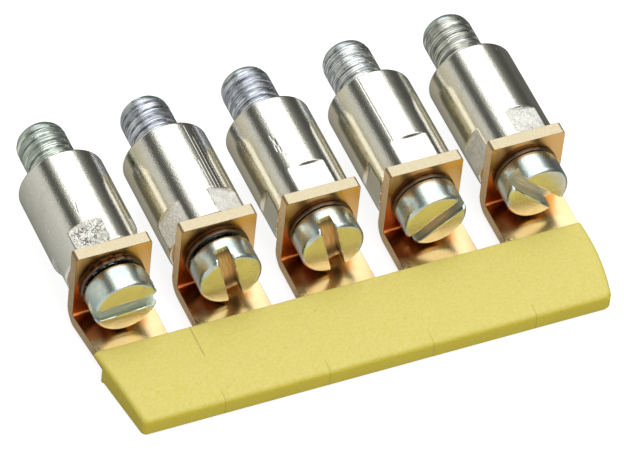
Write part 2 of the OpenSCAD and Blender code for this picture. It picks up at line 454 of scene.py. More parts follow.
@dataclass(frozen=True)
class NickelPlate(Finish):
    """Bright nickel over a turned and drawn sleeve, with rough crimp flats and a dull peened ring in painted shade.
    """

    base: Colour = linear(237, 236, 230)
    # A random broad stain on the nickel.
    stain_and_shade: Colour = linear(168, 160, 132)
    # Painted reflection of the neighbouring sleeve, laid on each sleeve's left side.
    painted_reflection: Colour = linear(226, 212, 172)
    # Dark brown of the rough peened ring: most of it is painted shade behind the screw head.
    peened: Colour = linear(98, 76, 52)
    crack: Colour = linear(70, 68, 58)
    grey: Colour = linear(150, 147, 130)
    pressed: Colour = linear(250, 249, 240)
    smooth: float = 0.06
    crimp_dull: float = 0.03
    rough_dull: float = 0.22
    ring_dull: float = 0.35
    rough_metal: float = 0.15
    cells: float = 2.6
    depth_mm: float = 0.05
    drawn_out: tuple = (9, 0.16, 9)
    pressed_out: tuple = (1, 0.7, 1)

    def cracks(self, graph: Graph, place: Socket) -> Socket:
        """Cracks in a pressed surface: uneven cells, whose places wander with a noise.

        Args:
            graph: the material's graph.
            place: the piece's coordinates in millimetres.

        Returns:
            Distance to the nearest rim of a cell.
        """
        wander = graph.node("ShaderNodeTexNoise",
                            {"Vector": place, "Scale": 1.6, "Detail": 2.0}).outputs["Color"]
        bent = graph.node("ShaderNodeVectorMath", {0: graph.millimetres(self.pressed_out), 1: wander},
                          operation="ADD").outputs[0]
        return graph.node("ShaderNodeTexVoronoi", {"Vector": bent, "Scale": self.cells},
                          feature="DISTANCE_TO_EDGE").outputs["Distance"]

    def material(self, name: str) -> bpy.types.Material:
        """Builds the material, which reads the masks crimp, rough, ring and flank of its piece.

        Args:
            name: the material's name.

        Returns:
            The material.
        """
        material, graph = self.start(name)
        place = graph.millimetres()
        rough, ring = graph.mask("rough"), graph.mask("ring")
        roughest = graph.rise(rough, 0.75, 1.0)
        drawn = graph.noise(graph.millimetres(self.drawn_out), 3.0, 3.0, 0.6)
        fine, broad = self.grain(graph, place, 9.0, 0.5)
        patch = graph.rise(graph.noise(place, 0.8), 0.42, 0.6)
        broken = graph.rise(graph.noise(place, 2.1), 0.44, 0.56)
        pits = graph.rise(graph.noise(graph.millimetres(self.pressed_out), 3.4, 3.0, 0.65), 0.38, 0.62)
        cracks = self.cracks(graph, place)
        torn = graph.times(graph.rise(cracks, 0.0, 0.12), graph.span(pits, 0.35, 1.0))
        line = graph.times(graph.rise(cracks, 0.13, 0.03), broken, roughest)
        fleck = graph.times(self.specks(graph, place, 7.5, 0.34), rough, graph.span(patch, 1.0, 0.3))
        flat = graph.mix(graph.times(patch, graph.span(roughest, 0.1, 0.4)), self.pressed, self.grey)
        # The flank mask lays a painted reflection of the neighbouring sleeve on the left side.
        # The ring's dark brown is painted shade behind the head, on a rough peened surface.
        tint = graph.layers(self.base, (graph.rise(broad, 0.62, 1.0), 0.12, self.stain_and_shade),
                            (graph.mask("flank"), 0.55, self.painted_reflection), (fine, 0.2, self.grey), (rough, 1.0, flat),
                            (graph.math("MAXIMUM", line, fleck), 0.85, self.crack), (ring, 0.9, self.peened))
        diffuse = graph.times(graph.rise(rough, 0.0, 0.6), graph.span(patch, 1.0, 0.75))
        metal = graph.span(diffuse, 1.0, self.rough_metal)
        dull = graph.weigh((graph.mask("crimp"), self.crimp_dull), (rough, self.rough_dull),
                           (ring, self.ring_dull))
        shine = graph.plus(graph.span(drawn, self.smooth - 0.02, self.smooth + 0.03), dull)
        height = graph.plus(graph.weigh((drawn, 0.03), (fine, 0.06)), graph.times(torn, rough))
        self.close(graph, height, self.depth_mm, {"Base Color": tint, "Roughness": shine, "Metallic": metal})
        return material


@dataclass(frozen=True)
class ZincPlate(Finish):
    """Zinc with a pale blue-green passivation: mottled, softly shiny, with fine lines along the thread."""

    base: Colour = linear(230, 240, 231)
    blue: Colour = linear(190, 211, 220)
    dark: Colour = linear(120, 122, 108)
    milled: Colour = linear(242, 246, 230)
    # Painted reflection of the yellow moulding on the heads' front faces.
    painted_slab_reflection: Colour = linear(226, 208, 162)
    # Painted reflection: the copper colour laid in the slots.
    painted_copper_reflection: Colour = linear(248, 210, 150)
    torn: Colour = linear(214, 226, 210)
    # Painted reflection: the darker copper towards the slots' ends.
    painted_dark_reflection: Colour = linear(104, 84, 40)
    # Painted shade: darker colour for the thread's roots.
    groove: Colour = linear(100, 106, 104)
    crest: Colour = linear(252, 255, 255)
    hollow: Colour = linear(136, 145, 150)
    green: Colour = linear(234, 242, 226)
    lavender: Colour = linear(236, 236, 250)
    olive: Colour = linear(244, 240, 226)
    smooth: float = 0.22
    slot_dull: float = 0.14
    slot_dirt: float = 0.45
    thread_pitch: float = 0.7
    lines_a_pitch: float = 7.5
    cutter_lines: float = 9.0
    depth_mm: float = 0.01
    turned_out: tuple = (0.4, 0.4, 6)

    def thread_lines(self, graph: Graph, place: Socket) -> Socket:
        """Fine lines that follow the thread: noise of (length / pitch - turn / full circle) about each axis.

        Args:
            graph: the material's graph.
            place: the piece's coordinates in millimetres.

        Returns:
            A value from 0 between the lines to 1 on them.
        """
        x, y, z = graph.axes(place)
        angle = graph.math("ARCTAN2", graph.from_nearest(x, POLE_PITCH), z)
        helix = graph.minus(graph.math("DIVIDE", y, self.thread_pitch), graph.math("DIVIDE", angle, 2 * math.pi))
        return graph.rise(graph.streaks(graph.times(helix, self.lines_a_pitch), graph.times(x, 0.45)), 0.36, 0.6)

    def thread_tint(self, graph: Graph, place: Socket, lines: Socket) -> Socket:
        """Colour of a thread: darker between its fine lines, and of a hue that differs along the row.

        Args:
            graph: the material's graph.
            place: the piece's coordinates in millimetres.
            lines: the thread's fine lines.

        Returns:
            The colour.
        """
        x = graph.math("DIVIDE", graph.axes(place)[0], POLE_PITCH)
        second = graph.math("ABSOLUTE", graph.plus(x, 0.5))
        hue = graph.layers(WHITE, (graph.rise(second, 1.2, 0.8), 1.0, self.lavender),
                           (graph.rise(x, -1.4, -1.6), 1.0, self.green),
                           (graph.rise(x, 1.4, 1.6), 1.0, self.olive))
        return graph.mix(0.8, graph.mix(lines, self.hollow, self.crest), hue, "MULTIPLY")

    def slot_tint(self, graph: Graph, scored: Socket) -> Socket:
        """Colour of a slot: bare or a painted copper reflection, darkest at its ends, darker between the cutter's
        lines.

        Args:
            graph: the material's graph.
            scored: the cutter's lines.

        Returns:
            The colour.
        """
        # Painted reflection: each screw's share of copper colour in its slot, darker towards the slot's ends.
        outward = graph.rise(graph.math("ABSOLUTE", graph.plus(graph.mask("along"), 0.25)), 0.7, 1.9)
        stained = graph.mix(outward, self.painted_copper_reflection, self.painted_dark_reflection)
        milled = graph.mix(graph.mask("stained"), self.milled, stained)
        return graph.mix(graph.span(scored, 0.4, 0.0), milled, self.dark)

    def material(self, name: str) -> bpy.types.Material:
        """Builds the material, which reads the masks burr, thread, groove, slot, stained, along and across.

        Args:
            name: the material's name.

        Returns:
            The material.
        """
        material, graph = self.start(name)
        place = graph.millimetres()
        fine, broad = self.grain(graph, place, 6.0, 0.9)
        speck = self.specks(graph, place, 4.5, 0.16)
        burr, thread, slot = graph.mask("burr"), graph.mask("thread"), graph.mask("slot")
        lines = self.thread_lines(graph, place)
        scored = graph.rise(graph.streaks(graph.times(graph.mask("across"), self.cutter_lines),
                                          graph.times(graph.mask("along"), 0.5)), 0.35, 0.65)
        # Painted reflection: faces that look forward (-Y), the heads' fronts, take the yellow moulding's reflection
        # as colour.
        facing = graph.times(graph.rise(graph.normal()[1], -0.8, -0.97), graph.minus(1.0, slot))
        turned = graph.noise(graph.millimetres(self.turned_out), 1.4, 2.0, 0.6)
        # Painted shade: the groove mask darkens the thread's roots.
        tint = graph.layers(self.base, (broad, 0.7, self.blue), (speck, 0.18, self.dark),
                            (facing, 0.6, self.painted_slab_reflection), (thread, 1.0, self.thread_tint(graph, place, lines)),
                            (graph.mask("groove"), 0.35, self.groove), (slot, 1.0, self.slot_tint(graph, scored)),
                            (burr, 1.0, self.torn))
        shine = graph.plus(graph.span(broad, self.smooth, self.smooth + 0.07),
                           graph.weigh((graph.plus(burr, slot), self.slot_dull), (thread, 0.02)))
        metal = graph.minus(1.0, graph.times(graph.math("MAXIMUM", slot, burr), self.slot_dirt))
        height = graph.weigh((fine, 0.25), (speck, 0.1), (graph.times(facing, turned), 0.6),
                             (graph.times(burr, fine), 3.0), (graph.times(thread, lines), 2.0),
                             (graph.times(slot, scored), 1.4))
        self.close(graph, height, self.depth_mm, {"Base Color": tint, "Roughness": shine, "Metallic": metal})
        return material


@dataclass(frozen=True)
class RolledCopper(Finish):
    """Rolled copper alloy: bright faces with rolling lines, painted shade and reflection, and pale, grainy sheared
    edges.
    """

    face: Colour = linear(238, 221, 178)
    # Orange copper: painted reflection on the upright plates, and a random broad tone elsewhere.
    warm: Colour = linear(236, 184, 108)
    # Painted shade under the heads on the tabs.
    shaded: Colour = linear(236, 172, 106)
    edge: Colour = linear(208, 198, 166)
    side: Colour = linear(255, 219, 161)
    old_side: Colour = linear(198, 166, 116)
    scuffed: Colour = linear(208, 180, 142)
    # Dark red-brown for the marks behind the lip, and painted shade along the broken edges.
    pit_and_edge_shade: Colour = linear(96, 62, 40)
    # Painted shade round the heads: brown on the plates, redder on the tabs.
    painted_plate_shade: Colour = linear(134, 72, 36)
    painted_tab_shade: Colour = linear(172, 74, 38)
    glint: Colour = (1, 1, 0.9, 1)
    smooth: float = 0.22
    sheared: float = 0.36
    cut_metal: float = 0.18
    top_metal: float = 0.55
    depth_mm: float = 0.02
    tab_left: float = -2.95
    lip_y: float = -14.3
    rolled_out: tuple = (4, 0.5, 0.5)
    torn_out: tuple = (2.2, 1.4, 1.4)

    def under_head(self, graph: Graph, across: Socket, y: Socket) -> Socket:
        """Mask of painted shade, a redder copper, on a tab below the head, from the fold to just before the lip."""
        return graph.times(graph.rise(y, self.lip_y + 1.05, self.lip_y + 1.75), graph.rise(across, 2.3, 1.1))

    def lip_marks(self, graph: Graph, across: Socket, y: Socket) -> Socket:
        """Mask of the small stains at the left edge of each tab, just behind the moulding's lip."""
        return graph.times(graph.rise(across, self.tab_left + 1.2, self.tab_left + 0.1),
                           graph.rise(y, self.lip_y + 1.5, self.lip_y + 0.3))

    def painted_shade(self, graph: Graph, across: Socket, y: Socket, z: Socket) -> Socket:
        """Painted brown shade: round the head on a plate's left and lower side, and on a tab's left third.

        Args:
            graph: the material's graph.
            across: place across a plate or tab, from its screw's axis.
            y: place along the screws.
            z: height over their axes.

        Returns:
            The tarnish's mask.
        """
        from_axis = graph.math("SQRT", graph.plus(graph.times(across, across), graph.times(z, z)))
        left = graph.rise(graph.plus(across, graph.times(z, 0.25)), 3.3, -0.7)
        on_plate = graph.times(graph.rise(from_axis, 4.6, 2.9), left)
        on_tab = graph.times(graph.rise(across, -0.3, -2.2), graph.rise(y, self.lip_y + 0.3, self.lip_y + 1.6))
        return graph.mix(graph.rise(z, -2.3, -2.7), on_plate, on_tab)

    def material(self, name: str) -> bpy.types.Material:
        """Builds the material, which reads the masks cut, top and edge of its piece.

        Args:
            name: the material's name.

        Returns:
            The material.
        """
        material, graph = self.start(name)
        place = graph.millimetres()
        x, y, z = graph.axes(place)
        across = graph.from_nearest(x, POLE_PITCH)
        cut, top = graph.mask("cut"), graph.mask("top")
        rolled = graph.noise(graph.millimetres(self.rolled_out), 2.2, 3.0, 0.6)
        torn = graph.noise(graph.millimetres(self.torn_out), 4.5, 3.0, 0.65)
        fine, broad = self.grain(graph, place, 8.0, 0.45)
        speck = self.specks(graph, place, 6.5, 0.35)
        plate = graph.rise(z, -2.7, -1.6)
        # Painted light on the faces: shade under the head on the tab, and a warmer copper on the plates for what
        # they mirror.
        face = graph.layers(self.face, (self.under_head(graph, across, y), 1.0, self.shaded),
                            (graph.span(plate, 0.15, 0.85), 1.0, self.warm), (broad, 0.3, self.warm))
        sheared = graph.layers(self.side, (graph.rise(x, -13.0, -18.0), 1.0, self.old_side),
                               (top, 1.0, self.edge), (graph.rise(torn, 0.5, 0.6), 0.62, self.scuffed),
                               (speck, 0.35, self.glint))
        # Painted shade: brown round each head, on the plate's left and lower side and the tab's left third, kept
        # off the sheared faces.
        stain_and_shade = graph.times(self.painted_shade(graph, across, y, z), graph.span(cut, 0.85, 0.0),
                            graph.span(broad, 0.7, 1.0))
        # Painted shade: a dark line along the broken edges, broken up by noise.
        rim = graph.times(graph.mask("edge"), graph.span(torn, 0.4, 1.0))
        marks = graph.times(self.lip_marks(graph, across, y), graph.rise(torn, 0.5, 0.56))
        tint = graph.layers(face, (cut, 1.0, sheared),
                            (stain_and_shade, 1.0, graph.mix(plate, self.painted_tab_shade, self.painted_plate_shade)),
                            (rim, 1.0, self.pit_and_edge_shade), (marks, 1.0, self.pit_and_edge_shade))
        shine = graph.plus(graph.span(rolled, self.smooth - 0.03, self.smooth + 0.05),
                           graph.times(cut, self.sheared - self.smooth))
        metal = graph.plus(graph.span(cut, 1.0, self.cut_metal),
                           graph.times(top, self.top_metal - self.cut_metal))
        rough = graph.times(cut, graph.plus(torn, graph.times(speck, 0.4)))
        height = graph.plus(rough, graph.weigh((rolled, 0.1), (fine, 0.05), (marks, -0.8)))
        self.close(graph, height, self.depth_mm, {"Base Color": tint, "Roughness": shine, "Metallic": metal})
        return material


@dataclass(frozen=True)
class YellowMoulding(Finish):
    """Fine-grained matte moulding in light yellow, with faint lines across where the mould's inserts meet."""

    base: Colour = linear(216, 197, 42)
    deep: Colour = linear(207, 186, 34)
    # Painted sheen: paler, hazier yellow for faces that look up.
    painted_top_sheen: Colour = linear(210, 198, 114)
    grainy: Colour = linear(200, 185, 66)
    dirt: Colour = linear(120, 108, 50)
    gloss: float = 0.7
    depth_mm: float = 0.012
    line_start: float = -11.9
    line_half: float = 0.03
    nose_y: float = -20.6
    back_y: float = -17.2

    def insert_lines(self, graph: Graph, place: Socket) -> Socket:
        """Insert lines: short at the nose, the first one behind the lip too, and broken between.

        Args:
            graph: the material's graph.
            place: the piece's coordinates in millimetres.

        Returns:
            The lines' mask.
        """
        x, y, _ = graph.axes(place)
        along = graph.minus(x, self.line_start)
        off = graph.math("ABSOLUTE", graph.from_nearest(along, POLE_PITCH))
        first = graph.math("LESS_THAN", along, POLE_PITCH / 2)
        nose = graph.span(graph.rise(y, self.nose_y + 0.5, self.nose_y), 0.0, 0.6)
        back = graph.times(first, graph.rise(y, self.back_y - 0.4, self.back_y + 0.4))
        broken = graph.span(graph.rise(graph.noise(place, 0.9, 1.0), 0.45, 0.62), 0.0, 0.22)
        shown = graph.math("MAXIMUM", graph.math("MAXIMUM", nose, back), broken)
        return graph.times(graph.rise(off, self.line_half * 2, self.line_half), shown)

    def material(self, name: str) -> bpy.types.Material:
        """Builds the material.

        Args:
            name: the material's name.

        Returns:
            The material.
        """
        material, graph = self.start(name)
        place = graph.millimetres()
        fine, broad = self.grain(graph, place, 5.0, 0.35)
        line = self.insert_lines(graph, place)
        # Painted glints: sparse white specks.
        # Painted sheen: faces that look up get a paler, hazier yellow.
        tint = graph.layers(self.base, (broad, 0.35, self.deep), (fine, 0.4, self.deep),
                            (graph.rise(graph.normal()[2], 0.3, 0.97), 0.85, self.painted_top_sheen), (fine, 0.4, self.grainy),
                            (self.specks(graph, place, 5.5, 0.2), 0.06, WHITE), (line, 0.4, self.dirt),
                            (self.specks(graph, place, 3.0, 0.012), 0.2, self.dirt))
        height = graph.minus(fine, graph.times(line, 1.5))
        self.close(graph, height, self.depth_mm, {"Base Color": tint, "Roughness": graph.span(fine, 0.42, 0.55)},
                   Specular_IOR_Level=self.gloss)
        return material


# ---- Pieces -----------------------------------------------------------------


def axis_x(node: str) -> float:
    """Middle of a solid along X, in millimetres."""
    low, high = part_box(node)
    return (low.x + high.x) / 2 / MM


@dataclass(frozen=True)
class Groove:
    """A mark on a sleeve: a narrow channel along it, or a nick.

    Args:
        turn: angle from +Z towards +X, in degrees.
        start: its near end along Y.
        end: its far end along Y.
        width: half its width.
        depth: how deep it is.
        lean: degrees that it turns from start to end.
    """

    turn: float
    start: float
    end: float
    width: float = 0.03
    depth: float = 0.012
    lean: float = 0.0
    outside: float = 0.05
    inside: float = 0.15

    def cut(self, a: np.ndarray, y: np.ndarray, radius: float) -> np.ndarray:
        """Shape of the mark: depth x exp(-(distance / width)^2), eased in and out at its ends.

        Args:
            a: angles round the sleeve, in radians.
            y: places along it.
            radius: the sleeve's radius.

        Returns:
            How deep the mark is at each angle and place.
        """
        along = (smooth_step(y, self.start - self.outside, self.start + self.inside)
                 * (1 - smooth_step(y, self.end - self.inside, self.end + self.outside)))
        middle = self.turn + self.lean * (y - self.start) / (self.end - self.start)
        away = (a - np.radians(middle)) * radius / self.width
        return self.depth * np.exp(-away ** 2) * along

    def columns(self, radius: float, reach: float, count: int) -> list[np.ndarray]:
        """Close angles across it in degrees, to reach times its width, and at three places if it leans."""
        across = np.linspace(-reach, reach, count) * math.degrees(self.width / radius)
        return [self.turn + self.lean * share + across for share in ((0.0, 0.5, 1.0) if self.lean else (0.0,))]


class Crimp(Enum):
    """How the flats of a sleeve came out of the crimping tool."""

    SMOOTH = 0.0
    SPECKLED = 0.7
    ROUGH = 1.0


@dataclass
class Sleeve:
    """Turned spacer sleeve with four crimp flats and a spigot peened over in front of the plate.

    Args:
        number: its place in the row, from 1.
        turn: turn of its flats about its axis, in degrees.
        crimp: how the flats came out.
        marks: its draw lines and nicks.
        peening: how uneven its peened ring is.
    """

    number: int
    turn: float
    crimp: Crimp
    marks: tuple[Groove, ...] = ()
    peening: float = 0.02
    radius: float = 3.35
    length: float = 9.2
    bore: float = 2.15
    neck: float = 1.85
    spigot: float = 2.35
    ring: float = 2.5
    ring_thick: float = 0.3
    plate: float = 1.0
    edge: float = 0.25
    crimp_long: float = 2.35
    crimp_deep: float = 0.3
    crimp_step: float = 0.11
    crimp_blend: float = 0.0012
    crimp_rim: float = 0.05
    # Where the painted reflection of the neighbouring sleeve lies, in degrees from +Z towards -X.
    reflection_from: tuple[float, float] = (38, 52)
    reflection_to: tuple[float, float] = (95, 125)
    columns: int = 240
    mark_columns: int = 13
    mark_reach: float = 2.2
    closest_deg: float = 0.05
    wall_rows: int = 70
    step_rows: int = 22
    foot_rows: int = 14
    edge_rows: int = 8
    step_half: float = 0.3
    row_gap: float = 0.05
    ring_round: float = 0.1
    ring_lift: float = 0.04
    mouth: float = 0.08
    sharp_deg: float = 38

    @property
    def node(self) -> str:
        """Name of the solid that this sleeve stands for."""
        return f"sleeve_{self.number}"

    def profile(self) -> tuple[np.ndarray, np.ndarray, np.ndarray]:
        """Closed outline in radius and Y.

        Returns:
            Its points, 1 where a point lies on the outer wall, and 1 where it lies on the peened ring.
        """
        back, front = -self.length, -self.length - self.plate
        e, foot = self.edge, -self.length + self.crimp_long
        reach = self.step_half + self.row_gap
        wall = np.concatenate([np.linspace(-e, foot + reach, self.wall_rows)[1:-1],
                               foot + np.linspace(self.step_half, -self.step_half, self.step_rows),
                               np.linspace(foot - reach, back + e, self.foot_rows)[1:-1]])
        outer = np.concatenate([arc((self.radius - e, -e), e, 90, 0, self.edge_rows),
                                np.stack([np.full(len(wall), self.radius), wall], -1),
                                arc((self.radius - e, back + e), e, 0, -90, self.edge_rows)])
        nose, curl, b = front - self.ring_thick, self.ring_round, self.bore
        ring = arc((self.ring - curl, nose + curl), curl, 0, -90, 5)
        lip = np.array([(self.spigot, back), (self.spigot, front), (self.ring, front - self.ring_lift)])
        inner = np.array([(b + self.row_gap, nose), (b, nose + self.row_gap), (b, back - 0.02),
                          (self.neck, back + self.crimp_deep), (self.neck, foot), (b, foot + self.crimp_deep),
                          (b, -self.mouth), (b + self.mouth, 0)])
        points = np.concatenate([outer, lip, ring, inner])
        on_wall = np.zeros(len(points))
        on_wall[:len(outer)] = 1
        on_ring = np.zeros(len(points))
        on_ring[len(outer) + 2:len(outer) + 3 + len(ring)] = 1
        return points, on_wall, on_ring

    def angles(self) -> np.ndarray:
        """Angles of the columns: even, with close ones across each mark.

        Returns:
            Angles from +Z towards +X, in radians.
        """
        even = np.linspace(-180, 180, self.columns, endpoint=False)
        close = [c for m in self.marks for c in m.columns(self.radius, self.mark_reach, self.mark_columns)]
        every = np.sort(np.concatenate([even, *close]))
        return np.radians(every[np.append(np.diff(every) > self.closest_deg, True)])

    def surface(self) -> tuple[np.ndarray, dict[str, np.ndarray]]:
        """Grid over angle a and outline s: radius r(a, s) and y(s).

        On the outer wall, r is the smaller of the round wall and flat_r / cos(a - nearest flat), in the crimped
        length only, eased into each other. Marks are taken off it as smooth channels.

        Returns:
            The points, and the masks crimp (the flats), rough (how torn they are), ring (the peened ring) and a
            flank mask, the left side where a painted reflection of the neighbouring sleeve lies, on every sleeve
            but the first.
        """
        outline, on_wall, on_ring = self.profile()
        a, y = self.angles()[:, None], outline[None, :, 1]
        r = np.broadcast_to(outline[None, :, 0], (a.shape[0], outline.shape[0])).copy()
        foot = -self.length + self.crimp_long
        pressed = smooth_step(-y, -foot - self.crimp_step, -foot + self.crimp_step) * on_wall
        off = (a - math.radians(self.turn) + np.pi / 4) % (np.pi / 2) - np.pi / 4
        flat = (self.radius - self.crimp_deep) / np.cos(off)
        cut = r - 0.5 * (r + flat - np.sqrt((r - flat) ** 2 + self.crimp_blend))
        crimped = np.clip((r - flat) / self.crimp_rim, 0, 1) * pressed
        r -= cut * pressed
        for mark in self.marks:
            r -= mark.cut(a, y, self.radius) * on_wall
        r += on_ring * self.peening * waves(a, self.number, 9, 24)
        y = y + on_ring * self.peening * waves(a, self.number + 20, 9, 30)
        grid = np.stack([axis_x(self.node) + r * np.sin(a), np.broadcast_to(y, r.shape), r * np.cos(a)], -1)
        turned = -np.degrees(a)
        # Painted reflection of the neighbouring sleeve on the left side, on every sleeve but the first.
        painted_reflection = smooth_step(turned, *self.reflection_from) * (1 - smooth_step(turned, *self.reflection_to))
        painted_reflection = painted_reflection * (self.number > 1)
        return grid, {"crimp": crimped, "rough": crimped * self.crimp.value,
                      "ring": np.broadcast_to(on_ring[None, :], r.shape), "flank": np.broadcast_to(painted_reflection, r.shape)}

    def build(self, finish: bpy.types.Material) -> bpy.types.Object:
        """Makes the sleeve in place of its solid and dresses it.

        Args:
            finish: its material.

        Returns:
            The piece.
        """
        grid, masks = self.surface()
        shell = Shell(f"spacer_{self.number}")
        shell.add(grid, wrap_rows=True, wrap_cols=True, **masks)
        return dress(shell.build(self.sharp_deg), "bar", finish, self.node)


@dataclass
class CaptiveScrew:
    """Cheese-head screw with a driver slot, a waist and a right-hand thread, as one closed surface.

    Args:
        number: its place in the row, from 1.
        gap: distance of its head from the peened ring.
        slot_turn: turn of the slot from the bar's length towards the plate's top, in degrees.
        slot_shift: offset of the slot from the axis, square to the slot.
        burr: how far the slot's right end is raised and torn.
        stained: how much painted copper reflection the slot has, from 0 to 1.
    """

    number: int
    gap: float
    slot_turn: float
    slot_shift: float = 0.0
    burr: float = 0.0
    stained: float = 0.0
    head_r: float = 2.45
    head_high: float = 2.1
    head_edge: float = 0.3
    head_back: float = -10.5
    slot_wide: float = 1.1
    slot_deep: float = 1.2
    slot_edge: float = 0.05
    waist_r: float = 1.65
    thread_r: float = 1.925
    thread_deep: float = 0.17
    thread_pitch: float = 0.7
    thread_out: float = 5.1
    thread_flank: tuple[float, float] = (0.02, 0.38)
    lead_in: float = -0.25
    runout: tuple[float, float] = (0.25, 0.95)
    tip_long: float = 1.1
    tip_r: float = 1.15
    across: int = 44
    mouth: int = 12
    face_rows: int = 26
    wall_rows: int = 6
    dome_rows: int = 18
    row_long: float = 0.05
    row_ease: float = 1.8
    skirt: tuple[tuple[float, float], ...] = ((0, 0.6), (0, 0.3), (0, 0.1), (-0.015, 0.05), (-0.05, 0.015),
                                              (-0.1, 0))
    waist_rows: tuple[float, ...] = (-2, -0.6)
    start_turn: float = 0.13
    fade_in: float = 0.35
    lined_to: tuple[float, float] = (0.1, 0.6)
    tear: float = 0.4
    burr_from: tuple[float, float] = (1.5, 2.3)
    burr_beside: tuple[float, float] = (-1.0, -0.45)
    burr_above: float = 0.95
    tinted_from: tuple[float, float] = (1.2, 2.2)
    tinted_beside: tuple[float, float] = (-1.1, -0.5)
    sharp_deg: float = 34

    @property
    def node(self) -> str:
        """Name of the solid that this screw stands for."""
        return f"screw_{self.number}"

    def bearings(self) -> tuple[np.ndarray, np.ndarray, np.ndarray]:
        """Angles round the head from the slot's direction: of the upper half, the lower half, and all round.

        The halves end where the slot's walls meet the rim, at asin(offset / radius).

        Returns:
            The three arrays, in radians.
        """
        high = self.slot_shift + self.slot_wide / 2
        low = self.slot_wide / 2 - self.slot_shift
        a, b = math.asin(high / self.head_r), math.asin(low / self.head_r)
        upper = np.linspace(a, np.pi - a, self.across + 1)
        lower = np.linspace(np.pi + b, 2 * np.pi - b, self.across + 1)
        left = np.linspace(np.pi - a, np.pi + b, self.mouth + 1)
        right = np.linspace(2 * np.pi - b, 2 * np.pi + a, self.mouth + 1)
        return upper, lower, np.concatenate([upper[:-1], left[:-1], lower[:-1], right[:-1]])

    def top(self, rho: np.ndarray) -> np.ndarray:
        """Height of the head over its back: level, with a quarter round of head_edge at the rim."""
        out = np.clip(rho - (self.head_r - self.head_edge), 0, self.head_edge)
        return self.head_high - self.head_edge + np.sqrt(self.head_edge ** 2 - out ** 2)

    def half(self, bearing: np.ndarray, offset: float) -> np.ndarray:
        """One half of the head above the slot's floor, as bearing x path.

        The path climbs the slot's wall at distance offset from the axis, rounds its edge, goes out along the
        bearing and down the round side.

        Args:
            bearing: angles round the head, in radians.
            offset: the wall's distance from the axis.

        Returns:
            Points as (along the slot, across it, height).
        """
        floor = self.head_high - self.slot_deep
        sine = np.abs(np.sin(bearing))[:, None]
        sign = np.sign(np.sin(bearing.mean()))
        chord = np.minimum(offset / sine, self.head_r)
        reach = 1 - (1 - np.linspace(0, 1, self.face_rows)) ** self.row_ease
        rho = chord + (self.head_r - chord) * reach[None, :]
        h = self.top(rho)
        fillet = self.slot_edge
        ease = np.clip(1 - (rho * sine - offset) / fillet, 0, 1)
        h = h - fillet * (1 - np.sqrt(1 - ease ** 2)) * (rho < self.head_r - 1e-9)
        steps = np.linspace(0, 1, self.wall_rows + 1)[None, :]
        climb = floor + (h[:, :1] - floor) * steps[:, :-1]
        side = self.top(np.array([self.head_r]))[0]
        drop = side + (floor - side) * steps[:, 1:]
        rho = np.concatenate([np.repeat(chord, self.wall_rows, 1), rho,
                              np.full((len(bearing), self.wall_rows), self.head_r)], 1)
        h = np.concatenate([climb, h, np.repeat(drop, len(bearing), 0)], 1)
        cosine = np.cos(bearing)[:, None]
        return np.stack([rho * cosine, sign * rho * sine, h], -1)

    def floor(self, upper: np.ndarray, lower: np.ndarray) -> np.ndarray:
        """Slot's floor, as rows across the slot between matching points of its two walls.

        A row's points keep their share of the chord's half length, sqrt(r^2 - w^2), as w goes across.

        Args:
            upper: bearings of the upper half.
            lower: bearings of the lower half.

        Returns:
            Points as (along the slot, across it, height).
        """
        ends = (self.slot_shift - self.slot_wide / 2, self.slot_shift + self.slot_wide / 2)
        rim = np.linspace(upper[0], lower[-1] - 2 * np.pi, self.mouth + 1)[None, :]
        across = self.head_r * np.sin(rim)
        w = (across - ends[0]) / (ends[1] - ends[0])
        share = [np.clip(abs(e) / np.tan(b) / math.sqrt(self.head_r ** 2 - e ** 2), -1, 1)
                 for e, b in ((ends[1], upper), (ends[0], 2 * np.pi - lower[::-1]))]
        share = share[1][:, None] + (share[0] - share[1])[:, None] * w
        along = share * np.sqrt(self.head_r ** 2 - across ** 2)
        return np.stack([along, np.broadcast_to(across, along.shape),
                         np.full(along.shape, self.head_high - self.slot_deep)], -1)

    def shank(self, bearing: np.ndarray) -> tuple[np.ndarray, np.ndarray, np.ndarray]:
        """Waist, thread and rounded tip as bearing x length, r = root + depth x ridge.

        The ridge is a flat-topped wave of (length / pitch - turn / full circle), which climbs to +Y as it turns
        from +Z to +X, so the thread is right-handed. It fades in at the sleeve's end and out over the tip.

        Args:
            bearing: angles round the screw from the slot's direction, in radians.

        Returns:
            The points as (radius, bearing, y), the mask of the thread and the mask of its groove.
        """
        tip = self.thread_out - self.gap
        start = tip - self.tip_long
        head = self.head_back - self.gap
        dome = np.sin(np.linspace(0, np.pi / 2, self.dome_rows))
        y = np.concatenate([[head, head + 1, *self.waist_rows, self.lead_in - 0.03],
                            np.arange(self.lead_in + 0.01, start, self.row_long), start + self.tip_long * dome])
        turn = np.pi / 2 - (bearing[:, None] + math.radians(self.slot_turn))
        phase = (y[None, :] / self.thread_pitch - turn / (2 * np.pi) + self.start_turn * self.number) % 1
        ridge = smooth_step(np.abs(phase - 0.5) * 2, *self.thread_flank)
        fade = smooth_step(y, self.lead_in, self.lead_in + self.fade_in)[None, :]
        fall = np.clip((y - start) / self.tip_long, 0, 1)[None, :]
        major = self.thread_r - (self.thread_r - self.tip_r) * (1 - np.sqrt(1 - fall ** 2))
        groove = (1 - ridge) * (1 - smooth_step(fall, *self.runout))
        r = self.waist_r + (major - self.thread_deep * groove - self.waist_r) * fade
        r = np.where(y[None, :] < self.lead_in, self.waist_r, r)
        ends = np.concatenate([r, r[:, -1:] * 0.5, r[:, -1:] * 0], 1)
        y = np.concatenate([y, [tip, tip]])
        grid = np.stack([ends, np.broadcast_to(bearing[:, None], ends.shape),
                         np.broadcast_to(y[None, :], ends.shape)], -1)
        lined = (y > 0)[None, :] * (1 - np.concatenate([smooth_step(fall, *self.lined_to), [[1, 1]]], 1))
